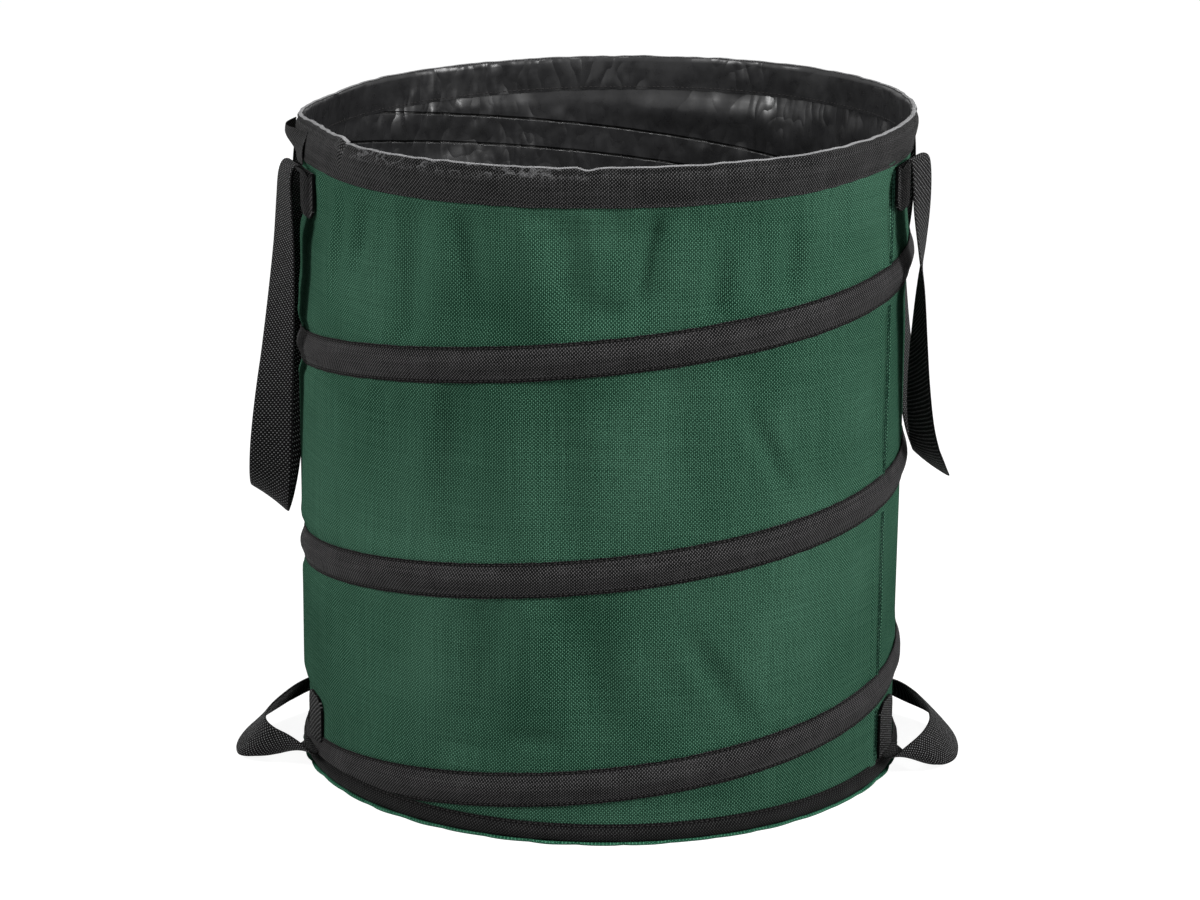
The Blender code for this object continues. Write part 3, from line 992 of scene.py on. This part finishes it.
shape(band, ease_band)
lay_flat(band, round_the_bag)
outwards(band)
thicken(band, tape_thickness)
paint(band, band_finish)
finish_piece(band, "base", ["base_band"])

# %% Piping
bpy.ops.mesh.primitive_torus_add(
    major_radius=bag_radius + 0.0020, minor_radius=0.0011, major_segments=384, minor_segments=10,
    location=(0, 0, 0.0013),
)
piping = begin("base_piping_cloth")


def scallop(place):
    angle, out = on_the_drum(place)
    wave = abs(math.sin(angle * 21)) ** 0.6 * (0.7 + 0.6 * ripple(angle, 0, 9.0, 0.0, 1.0))
    return at(angle, bag_radius + out * 0.9 + 0.0022 * wave * step_up(out, 0.001, 0.002), place.z)


shape(piping, scallop)
lay_flat(piping, lambda place, middle: (round_the_bag(place, middle)[0], place.z + place.to_2d().length))
paint(piping, lightened_piping_finish)
finish_piece(piping, "base", ["base_piping"])

# %% Base panel
# Its edge is caught in the band, and its middle is a small disc with rings round it.
middle_disc, caught, panel_rings = 0.008, 0.0014, 22
panel_width = bag_radius - caught - middle_disc
spokes = [0.0] + [middle_disc + panel_width * ring / panel_rings for ring in range(panel_rings + 1)]
panel = turn_round("base_panel_cloth", [(radius, 0.0012) for radius in spokes], 144)


def settle_panel(place):
    swell = 0.0028 * step_up(-on_the_drum(place)[1], 0.0, 0.03)
    folds = 0.5 + 0.5 * noise.noise(Vector((place.x * 11, place.y * 11, 2)))
    ridges = max(noise.noise(Vector((place.x * 26, place.y * 20, 7))), 0)
    return Vector((place.x, place.y, place.z + swell * folds * (0.5 + 0.5 * ridges)))


shape(panel, settle_panel)
lay_flat(panel, lambda place, middle: (place.x, place.y))
outwards(panel)
paint(panel, cloth_finish, lining_finish)
if panel.data.polygons[0].normal.z > 0:
    edit(panel)
    bpy.ops.mesh.flip_normals()
    leave_edit()
thicken(panel, 0.0010, offset=0, second_finish=1)
finish_piece(panel, "base", ["base_panel"])

# %% [markdown]
# ## Sewn ends of the handles
# Each handle is one length of webbing, and its two ends are sewn flat on the wall. An end is a plane whose two
# free corners are rounded with a bevel, cut into strips so that it can follow the round wall, then thickened.

# %% Sew on the ends
handle_angle = math.radians(18.75)
end_gap, strap_gap, floor_gap = 0.0003, 0.0004, 0.0015
corner_cut, strips = 0.011, 10
end_out = end_gap + webbing_thickness
strap_out = end_out + strap_gap + webbing_thickness / 2


def side_angle(side, end):
    """Angle of a sewn end: side -1 left or 1 right, end -1 in front or 1 behind."""
    return (math.pi if side < 0 else 0) + side * end * handle_angle


def bend_round(place, angle, out):
    """Lays a point of a flat pattern on the wall: x is across, z is up and y is out of it."""
    return at(angle + place.x / bag_radius, bag_radius + out + place.y, place.z)


def sew_end(name, angle, low, high, round_top):
    bpy.ops.mesh.primitive_plane_add(size=1, rotation=(math.pi / 2, 0, 0))
    end = begin(name + "_webbing")
    shape(end, lambda place: Vector((place.x * webbing_width, 0, low + (place.z + 0.5) * (high - low))))
    edit(end, lambda corner: (corner.z > (low + high) / 2) == round_top, "VERT")
    bpy.ops.mesh.bevel(offset=corner_cut, segments=7, affect="VERTICES")
    for number in range(1, strips):
        bpy.ops.mesh.select_all(action="SELECT")
        place = ((number / strips - 0.5) * webbing_width, 0, 0)
        bpy.ops.mesh.bisect(plane_co=place, plane_no=(1, 0, 0))
    leave_edit()
    lay_flat(end, lambda place, middle: (place.z, place.x))
    shape(end, lambda place: bend_round(place, angle, end_out))
    outwards(end)
    thicken(end, webbing_thickness)
    paint(end, webbing_finish)
    return end


ends = {}
for side_name, side in (("left", -1), ("right", 1)):
    for end_name, end in (("front", -1), ("rear", 1)):
        for handle, body in (("carry", "rim"), ("base", "base")):
            name = f"{side_name}_{handle}_{end_name}_end"
            angle = side_angle(side, end)
            low, high = [corner.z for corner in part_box(name)]
            piece = sew_end(name, angle, low, high, body == "base")
            squash = press_tape if body == "base" else (high, 0.12)
            finish_piece(piece, body, [name], squash)
            ends[name] = (angle, low, high, body, squash)

# %% [markdown]
# ## The hanging handles
# Webbing is stiff across and soft along, so a strap is a flat grid that follows a line and keeps its width. Its
# line is given by a few stations, each with a middle and the direction of the width, and a smooth curve runs
# through them. Both legs are the same shape, mirrored in front and behind. A strap that swings up turns sharply
# where it is sewn on, so a short foot at each end is parted off.

# %% A strap through stations
def curve_through(points, shares, share):
    """The point at a share of a smooth curve through points that lie at those shares."""
    last = len(points) - 2
    i = min(max(sum(1 for s in shares if s <= share) - 1, 0), last)
    span = shares[i + 1] - shares[i]
    t = (share - shares[i]) / span

    def slope(k):
        before, after = max(k - 1, 0), min(k + 1, last + 1)
        return (points[after] - points[before]) / (shares[after] - shares[before]) * span

    a, b = points[i], points[i + 1]
    return (
        a * (2 * t**3 - 3 * t**2 + 1)
        + b * (3 * t**2 - 2 * t**3)
        + slope(i) * (t**3 - 2 * t**2 + t)
        + slope(i + 1) * (t**3 - t**2)
    )


def make_strap(name, stations, cells, cup, cupped):
    """Webbing through (middle, across) stations. Its edges bend up by cup, over the cupped share of it."""
    middles = [station[0] for station in stations]
    acrosses = [station[1].normalized() for station in stations]
    lengths = [0.0]
    for here, there in zip(middles, middles[1:]):
        lengths.append(lengths[-1] + (there - here).length)
    total = lengths[-1]
    shares = [length / total for length in lengths]
    bpy.ops.mesh.primitive_grid_add(x_subdivisions=cells, y_subdivisions=8, size=1)
    strap = begin(name)
    lay_flat(strap, lambda place, middle: ((place.x + 0.5) * total, place.y * webbing_width))

    def lay(place):
        share = place.x + 0.5
        middle = curve_through(middles, shares, share)
        across = curve_through(acrosses, shares, share).normalized()
        ahead = curve_through(middles, shares, min(share + 0.002, 1))
        behind = curve_through(middles, shares, max(share - 0.002, 0))
        face = (ahead - behind).cross(across).normalized()
        side = place.y * 2
        bend = cup * hump(share, 0.5, cupped) * (side * side - 0.33)
        return middle + across * place.y * (webbing_width - webbing_thickness) + face * bend

    shape(strap, lay)
    thicken(strap, webbing_thickness, offset=0)
    apply_modifier(strap, "SUBSURF", levels=1, render_levels=1)
    paint(strap, webbing_finish)
    print(f"{name}: {total * 1000:.0f} mm of webbing")
    return strap


def both_legs(leg):
    """The stations of the front leg, then those of the rear leg back from the loop's middle."""
    return leg(-1) + leg(1)[-2::-1]


# %% Hang the two carry handles
def carry_leg(side, end, shares, reach, drop, turn):
    """Stations from a sewn end to the loop's middle: down, out, round from the side, turned, slant."""
    angle = side_angle(side, end)
    start = hem_foot(angle) - end_gap
    bottom = hem_middle - drop
    flat = Vector((math.sin(angle), -math.cos(angle), 0)) * end
    stations = [(at(angle, bag_radius + strap_out, start - webbing_width / 8), flat)]
    for down, out_share, round_share, turned, slant in shares:
        place = side_angle(side, end * round_share)
        facing = angle + side * end * turn * turned
        slant = math.radians(slant)
        across = Vector((math.sin(facing), -math.cos(facing), 0)) * end * math.cos(slant)
        across.z = -math.sin(slant)
        height = start + (bottom - start) * down - webbing_thickness
        stations.append((at(place, bag_radius + out_share * reach, height), across))
    return stations


left_shares = (
    (-0.003, 0.20, 1.0, 0.0, 0),
    (-0.016, 0.32, 1.0, 0.0, 0),
    (-0.025, 0.45, 1.0, 0.0, 0),
    (-0.019, 0.57, 0.995, 0.0, 0),
    (0.012, 0.66, 0.98, 0.02, 0),
    (0.085, 0.67, 0.95, 0.07, 0),
    (0.205, 0.67, 0.90, 0.16, 0),
    (0.350, 0.72, 0.815, 0.27, 2),
    (0.515, 0.82, 0.72, 0.40, 5),
    (0.635, 0.90, 0.62, 0.52, 9),
    (0.765, 0.98, 0.53, 0.68, 16),
    (0.850, 1.03, 0.47, 0.80, 23),
    (0.925, 1.06, 0.375, 0.90, 30),
    (0.975, 1.07, 0.22, 0.97, 36),
    (0.99, 1.07, 0.0, 1.0, 38),
)
right_shares = (
    (-0.003, 0.19, 1.0, 0.0, 0),
    (-0.014, 0.29, 1.0, -0.02, 0),
    (-0.019, 0.38, 1.0, -0.045, 0),
    (-0.010, 0.46, 0.985, -0.065, 0),
    (0.04, 0.51, 0.965, -0.075, 0),
    (0.133, 0.53, 0.94, -0.05, 0),
    (0.249, 0.55, 0.91, 0.05, 0),
    (0.370, 0.54, 0.875, 0.19, 0),
    (0.520, 0.51, 0.81, 0.29, -3),
    (0.655, 0.50, 0.725, 0.37, -9),
    (0.775, 0.54, 0.62, 0.46, -18),
    (0.860, 0.64, 0.50, 0.58, -26),
    (0.920, 0.76, 0.35, 0.76, -32),
    (0.955, 0.84, 0.18, 0.92, -35),
    (0.965, 0.86, 0.0, 1.0, -36),
)


def split_off(strap, name, low, high):
    """Parts off a strap between two distances along it, as a piece of its own, and closes both."""
    select_only(strap)
    flat = strap.data.uv_layers["flat"].data
    for part in (*strap.data.vertices, *strap.data.edges):
        part.select = False
    for face in strap.data.polygons:
        along = sum(flat[loop].uv.x for loop in face.loop_indices) / len(face.loop_indices)
        face.select = low < along < high
    bpy.ops.object.mode_set(mode="EDIT")
    bpy.ops.mesh.select_mode(type="FACE")
    bpy.ops.mesh.separate(type="SELECTED")
    leave_edit()
    foot = next(piece for piece in bpy.context.selected_objects if piece != strap)
    foot.name = foot.data.name = name
    for piece in (strap, foot):
        edit(piece)
        bpy.ops.mesh.fill_holes(sides=0)
        leave_edit()
        outwards(piece)
    return foot


def hang_handle(name, side, shares, reach, drop, turn, front_foot, rear_foot):
    """A foot is given by its length and by how far out it ends, where the strap is level with its anchor."""
    stations = both_legs(lambda end: carry_leg(side, end, shares, reach, drop, turn))
    strap = make_strap(name + "_strap", stations, 200, 0.0012, 0.5)
    total = max(spot.uv.x for spot in strap.data.uv_layers["flat"].data)
    anchor = hem_foot(math.pi if side < 0 else 0) - 0.0005
    for end_name, end, low, high, reached in (
        ("front", -1, -1.0, front_foot[0], front_foot[1]),
        ("rear", 1, total - rear_foot[0], total + 1.0, rear_foot[1]),
    ):
        foot = split_off(strap, f"{name}_{end_name}_foot", low, high)
        outs = (0.003, reached - 0.0012)
        start, stop = [at(side_angle(side, end), bag_radius + out, anchor) for out in outs]
        finish_piece(foot, "rim", bent=(name, start, stop))
    finish_piece(strap, name, [name + "_handle"], (anchor, 0.05))


hang_handle(
    "left_carry", -1, left_shares, 0.025, 0.275, math.radians(71.25), (0.0185, 0.0149), (0.0225, 0.0161)
)
hang_handle(
    "right_carry", 1, right_shares, 0.0265, 0.25, -math.radians(108.75), (0.0125, 0.0113), (0.0165, 0.0128)
)

# %% [markdown]
# ## The loops at the base
# These lie out on the floor, and turn up on edge as they go round. They are made in the same way.

# %% Lay the two base loops on the floor
left_base_shares = (
    (0.127, 1.0, 0.0, 0.0, 0.0),
    (0.239, 0.985, 0.0, 0.05, 0.12),
    (0.40, 0.86, 0.0, 0.18, 0.40),
    (0.58, 0.66, 0.10, 0.42, 0.65),
    (0.76, 0.44, 0.40, 0.66, 0.80),
    (0.90, 0.26, 0.75, 0.80, 0.9),
    (0.98, 0.11, 0.95, 0.93, 0.97),
    (1.0, 0.0, 1.0, 1.0, 1.0),
)
right_base_shares = (
    (0.127, 1.0, 0.0, 0.0, 0.0),
    (0.239, 0.995, 0.0, 0.03, 0.10),
    (0.42, 0.96, 0.0, 0.12, 0.35),
    (0.64, 0.83, 0.10, 0.36, 0.60),
    (0.82, 0.61, 0.40, 0.62, 0.80),
    (0.93, 0.38, 0.75, 0.80, 0.9),
    (0.985, 0.17, 0.95, 0.93, 0.97),
    (1.0, 0.0, 1.0, 1.0, 1.0),
)
base_lean = math.radians(50)


def base_leg(side, end, shares, reach, forward):
    """Stations: out, round, height from start to far end, how far the width swings and how far it stands."""
    angle = side_angle(side, end)
    start = band_top + end_gap + webbing_thickness
    far = webbing_width / 2 * math.sin(base_lean) + webbing_thickness / 2 + floor_gap
    flat = angle - side * end * math.pi / 2
    stations = [(at(angle, bag_radius + strap_out, start), Vector((math.cos(flat), math.sin(flat), 0)))]
    for out, round_share, rise, swing, stand in shares:
        place = side_angle(side, end * round_share - out * forward)
        turn = flat + side * end * (math.pi / 2 - handle_angle) * swing
        lean = base_lean * stand
        across = Vector((math.cos(turn), math.sin(turn), 0)) * math.cos(lean)
        across -= Vector((0, 0, math.sin(lean)))
        height = start + (far - start) * rise
        stations.append((at(place, bag_radius + out * reach, height), across))
    return stations


for name, side, shares, reach, forward in (
    ("left", -1, left_base_shares, 0.0455, 0.62),
    ("right", 1, right_base_shares, 0.0405, 0.48),
):
    stations = both_legs(lambda end: base_leg(side, end, shares, reach, forward))
    strap = make_strap(f"{name}_base_strap", stations, 110, 0.001, 0.6)
    finish_piece(strap, f"{name}_tip", [f"{name}_base_handle"])

# %% [markdown]
# ## Stitches
# There are some thousands of them. One is modelled, a small ball drawn out long, and an Array modifier repeats
# it in a straight row. A rule then lays the row along its seam, the way the needle went. Each row is a mesh of
# its own, and rows that move together are joined.

# %% One stitch, repeated and laid along a seam
def sew(name, line, length, pitch=0.0040, stitch=0.0030, thick=0.0007):
    """A row of stitches. The line gives a point, the way along and the way out at each distance."""
    bpy.ops.mesh.primitive_uv_sphere_add(segments=6, ring_count=4, radius=0.5)
    row = begin(name)
    edit(row)
    bpy.ops.transform.rotate(value=math.pi / 2, orient_axis="Y", center_override=(0, 0, 0))
    bpy.ops.transform.resize(value=(stitch, thick, thick), center_override=(0, 0, 0))
    leave_edit()
    apply_modifier(
        row, "ARRAY", count=int(length / pitch), use_relative_offset=False,
        use_constant_offset=True, constant_offset_displace=(pitch, 0, 0),
    )
    lay_flat(row, lambda place, middle: (place.x, place.y))

    def lay(place):
        point, along, out = line(place.x + pitch / 2)
        return point + out.cross(along).normalized() * place.y + out * place.z

    shape(row, lay)
    return row


def ring_line(out, height, start=0.0, rises=False):
    """A line round the bag, whose height follows from the angle. On the hem it rises with the mouth."""

    def spot(angle):
        up = height(angle) - hem_foot(angle)
        rise = mouth_rise(angle, up) if rises else 0
        return at(angle, bag_radius + out - mouth_lean(angle, up), height(angle) + rise)

    def line(distance):
        angle = start + distance / bag_radius
        point, ahead = spot(angle), spot(angle + 0.01)
        return point, (ahead - point).normalized(), at(angle, 1 if out > 0 else -1, 0)

    return line


def finish_rows(name, rows, thread, body, squash=None):
    """Joins rows of stitches into one piece and finishes it."""
    select_only(rows[0])
    for row in rows:
        row.select_set(True)
    bpy.ops.object.join()
    rows[0].name = rows[0].data.name = name
    paint(rows[0], thread)
    finish_piece(rows[0], body, squash=squash)


once_round = 2 * math.pi * bag_radius


# %% Sew the tape, the hem and the base band
def shorten(line, length):
    """The part of a line that shows between the base band and the hem, as a line and its length."""
    step, margin, inside = 0.002, 0.001, []
    for number in range(int(length / step)):
        point = line(number * step)[0]
        if band_top + margin < point.z < hem_foot(angle_of(point)) - margin:
            inside.append(number * step)
    first = inside[0]
    return (lambda distance: line(distance + first)), inside[-1] - first


def hem_seam(angle):
    return hem_foot(angle) + 0.0022


def band_seam(angle):
    return band_top - 0.0016


rows = []
for out in (0.0011, -0.0011):
    for up in (tape_seam, -tape_seam):
        whole = ring_line(out, lambda angle: coil_height(angle) + up, start=math.pi)
        line, length = shorten(whole, 3 * once_round)
        rows.append(sew("tape_row", line, length))
finish_rows("tape_stitches", rows, black_thread, "base", press_tape)
rows = [sew("hem_row", ring_line(out, hem_seam, rises=True), once_round) for out in (0.0013, -0.0020)]
finish_rows("hem_stitches", rows, black_thread, "rim")
rows = [sew("band_row", ring_line(out, band_seam), once_round) for out in (0.0012, -0.0020)]
finish_rows("base_band_stitches", rows, black_thread, "base")


# %% Sew the side seam and the handles' ends
def upright_line(angle, out, low):
    along = Vector((0, 0, 1))
    return lambda distance: (at(angle, bag_radius + out, low + distance), along, at(angle, 1, 0))


def clear_of_tape(angle, low, high):
    """The lengths of an upright line that show between the turns of the tape."""
    half_tape, shortest = 0.0135, 0.008
    lengths, height = [], low
    for turn in range(1, 4):
        middle = coil_height(angle) + coil_pitch * turn
        lengths.append((height, min(middle - half_tape, high)))
        height = middle + half_tape
    lengths.append((height, high))
    return [(a, b) for a, b in lengths if b - a > shortest]


rows = []
for shift in (-0.0022, -0.0052):
    angle = seam_angle + shift / bag_radius
    for low, high in clear_of_tape(angle, band_top + 0.001, hem_foot(angle) - 0.001):
        rows.append(sew("seam_row", upright_line(angle, 0.0013, low), high - low, 0.0034, 0.0032, 0.0009))
finish_rows("side_seam_stitches", rows, green_thread, "base", press_wall)


def box_line(angle, low, high):
    """Round an end's edge and across it both ways, as one thread."""
    inset = 0.0055
    half, low, high = webbing_width / 2 - inset, low + inset, high - inset
    a, b, c, d = [Vector(corner) for corner in ((-half, low), (half, low), (half, high), (-half, high))]
    pairs = ((a, b), (b, c), (c, d), (d, a), (a, c), (b, d))
    sides = [(here, there, (there - here).length) for here, there in pairs]

    def line(distance):
        for here, there, length in sides:
            if distance <= length:
                break
            distance -= length
        share = min(distance / length, 1)
        spots = [here + (there - here) * (share + ahead) for ahead in (0, 0.02)]
        point, ahead = [bend_round(Vector((x, 0, z)), angle, end_out - 0.0001) for x, z in spots]
        return point, (ahead - point).normalized(), at(angle_of(point), 1, 0)

    return line, sum(length for here, there, length in sides)


for name, (angle, low, high, body, squash) in ends.items():
    line, length = box_line(angle, low, high)
    row = sew(name + "_stitches", line, length, 0.0034, 0.0028, 0.0005)
    paint(row, black_thread)
    finish_piece(row, body, squash=squash)

# %% [markdown]
# ## The steel that stays
# The base ring and its crimped sleeve have their right shape in the CAD model already. They only take the
# steel finish.

# %% Finish the base ring
for name in ("base_ring_wire", "base_ring_ferrule"):
    paint(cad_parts[name], steel_finish)

# %% [markdown]
# ## Floor and light
# The photograph is lit like a catalogue picture: large soft lamps and a white ground. The floor takes a light
# shadow. For the camera, and for what glass and steel mirror, floor and world are white.

# %% Floor
bpy.ops.mesh.primitive_plane_add(size=40)
floor = begin("studio_floor")
paper = Finish("white_paper", (0.55, 0.55, 0.55), 0.9)
glow = paper.node("Emission", {}, {"Color": (1, 1, 1, 1), "Strength": 1.85})
shaded = Value(paper, paper.shader.outputs[0])
mixed = paper.node("MixShader", {}, {0: paper.seen_or_mirrored() * 0.5, 1: shaded, 2: glow})
paper.plug(mixed, paper.tree.nodes["Material Output"].inputs["Surface"])
paint(floor, paper.material)

# %% World
world = bpy.data.worlds.new("studio")
bpy.context.scene.world = world
world.use_nodes = True
sky, ambient = Net(world.node_tree), 0.18
background = sky.tree.nodes["Background"].inputs
background["Color"].default_value = (1, 1, 1, 1)
level = sky.node("MapRange", {}, {"Value": sky.seen_or_mirrored(), "To Min": ambient})
sky.plug(level, background["Strength"])


# %% Lamps
def soft_lamp(name, place, target, size, watts):
    bpy.ops.object.light_add(type="AREA", location=place)
    lamp = bpy.context.object
    lamp.name = name
    lamp.data.shape, lamp.data.size, lamp.data.energy = "DISK", size, watts
    lamp.rotation_euler = (Vector(target) - Vector(place)).to_track_quat("-Z", "Y").to_euler()


soft_lamp("left_lamp", (-1.76, -0.98, 1.5), (0, 0, 0.35), 0.6, 37)
soft_lamp("right_lamp", (1.8, -1.0, 1.35), (0, 0, 0.25), 0.7, 51)
soft_lamp("mouth_lamp", (0.1, -0.5, 1.7), (0, 0.1, 0.4), 0.3, 5)
bpy.context.scene.view_settings.view_transform = "Standard"
